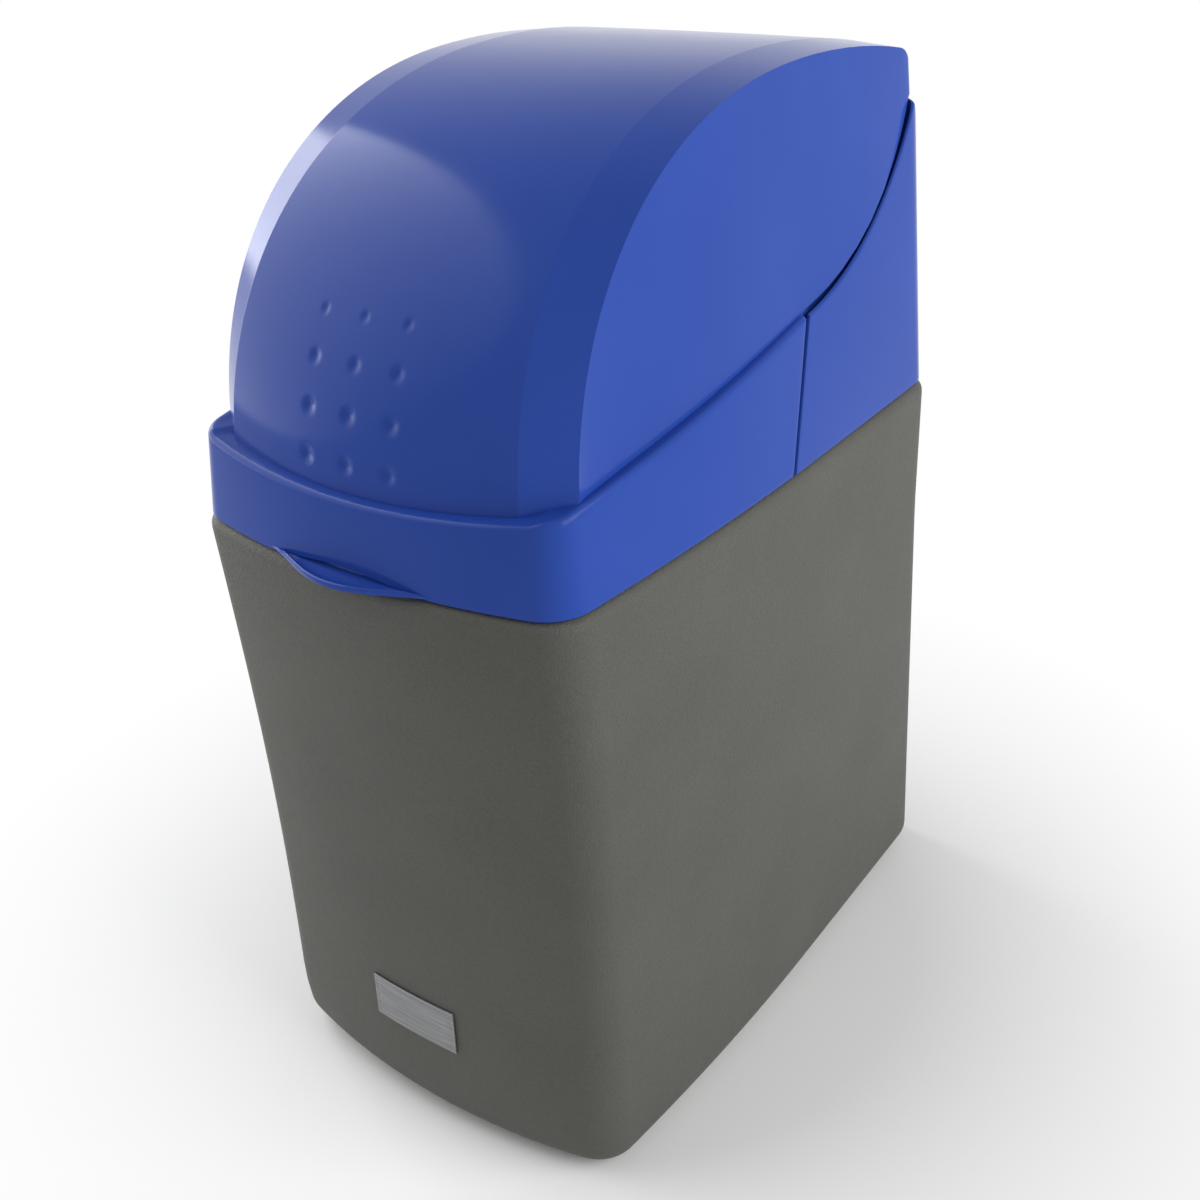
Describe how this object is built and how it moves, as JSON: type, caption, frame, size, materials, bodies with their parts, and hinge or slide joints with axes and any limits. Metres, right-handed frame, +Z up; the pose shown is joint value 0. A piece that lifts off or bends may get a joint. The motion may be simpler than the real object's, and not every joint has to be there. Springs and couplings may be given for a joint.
{
  "type": "water softener",
  "caption": "Compact cabinet water softener with a grained tank, hinged domed hood over the salt store, resin vessel, rotary valve, brine well and rear pipe connections.",
  "frame": {"origin": "centre of the bounding box on the floor plane", "axes": "+Z up, -Y to the front, +X to the right seen from the rear of the front panel, so the pipe connectors point to +Y"},
  "size_m": [0.2638, 0.405, 0.5576],
  "materials": {
    "grained_plastic": "moulded, leather grain",
    "hood_gloss": "high gloss moulded",
    "label_metal": "brushed foil",
    "steel": "turned",
    "black_plastic": "moulded",
    "vessel_wrap": "wound and sealed",
    "white_plastic": "moulded",
    "resin_beads": "wet beads",
    "seal_rubber": "matt",
    "acetal": "machined",
    "brass": "turned",
    "motor_can": "drawn and plated",
    "blue_plastic": "moulded",
    "board_green": "solder mask",
    "display_glass": "polished",
    "key_plastic": "moulded",
    "float_orange": "moulded"
  },
  "bodies": {
    "softener": {"cabinet": "grained_plastic", "rear_cover": "hood_gloss", "label_plate": "label_metal", "hinge_pins": "steel", "cover_screws": "steel", "bonnet_screws": "steel", "power_gland": "black_plastic", "gland_nut": "black_plastic", "vessel_boot": "black_plastic", "valve_body": "black_plastic", "bonnet": "black_plastic", "gear_frame": "black_plastic", "brine_elbow": "black_plastic", "air_check": "black_plastic", "salt_grid": "black_plastic", "control_housing": "black_plastic", "control_back": "black_plastic", "turbine_cage": "black_plastic", "vessel": "vessel_wrap", "riser_tube": "white_plastic", "lower_basket": "white_plastic", "upper_basket": "white_plastic", "brine_well": "white_plastic", "brine_pickup": "white_plastic", "brine_tube": "white_plastic", "overflow_spigot": "white_plastic", "overflow_nut": "white_plastic", "drain_spigot": "white_plastic", "resin_bed": "resin_beads", "neck_seal": "seal_rubber", "shaft_seal": "seal_rubber", "overflow_gasket": "seal_rubber", "inlet_connector": "brass", "outlet_connector": "brass", "gear_motor": "motor_can", "well_cap": "blue_plastic", "control_board": "board_green", "display_window": "display_glass"},
    "lid": {"lid": "hood_gloss"},
    "drive": {"valve_rotor": "acetal", "drive_gear": "acetal"},
    "pinion": {"motor_pinion": "brass"},
    "turbine": {"flow_turbine": "blue_plastic"},
    "float": {"brine_float": "float_orange"},
    "key_1": {"button_1": "key_plastic"},
    "key_2": {"button_2": "key_plastic"},
    "key_3": {"button_3": "key_plastic"},
    "key_4": {"button_4": "key_plastic"}
  },
  "joints": [
    {"name": "lid_hinge", "type": "hinge", "parent": "softener", "child": "lid", "pos_m": [0, 0.1675, 0.5229], "axis": [-1, 0, 0], "range_deg": [0, 78]},
    {"name": "valve_drive", "type": "hinge", "parent": "softener", "child": "drive", "pos_m": [0, 0.0925, 0.442], "axis": [0, 0, 1], "continuous": true},
    {"name": "motor_shaft", "type": "hinge", "parent": "softener", "child": "pinion", "pos_m": [0.0375, 0.0925, 0.442], "axis": [0, 0, 1], "continuous": true},
    {"name": "meter_spin", "type": "hinge", "parent": "softener", "child": "turbine", "pos_m": [0.034, 0.1675, 0.4], "axis": [0, 1, 0], "continuous": true},
    {"name": "float_lift", "type": "slide", "parent": "softener", "child": "float", "axis": [0, 0, 1], "range_m": [0, 0.028]},
    {"name": "key_press_1", "type": "slide", "parent": "softener", "child": "key_1", "axis": [0, 0.7926, -0.6097], "range_m": [0, 0.0015], "stiffness_N_per_m": 400, "springref_m": -0.0003},
    {"name": "key_press_2", "type": "slide", "parent": "softener", "child": "key_2", "axis": [0, 0.7926, -0.6097], "range_m": [0, 0.0015], "stiffness_N_per_m": 400, "springref_m": -0.0003},
    {"name": "key_press_3", "type": "slide", "parent": "softener", "child": "key_3", "axis": [0, 0.7926, -0.6097], "range_m": [0, 0.0015], "stiffness_N_per_m": 400, "springref_m": -0.0003},
    {"name": "key_press_4", "type": "slide", "parent": "softener", "child": "key_4", "axis": [0, 0.7926, -0.6097], "range_m": [0, 0.0015], "stiffness_N_per_m": 400, "springref_m": -0.0003}
  ],
  "couplings": [
    {"joint": "motor_shaft", "follows": "valve_drive", "ratio": -4}
  ]
}
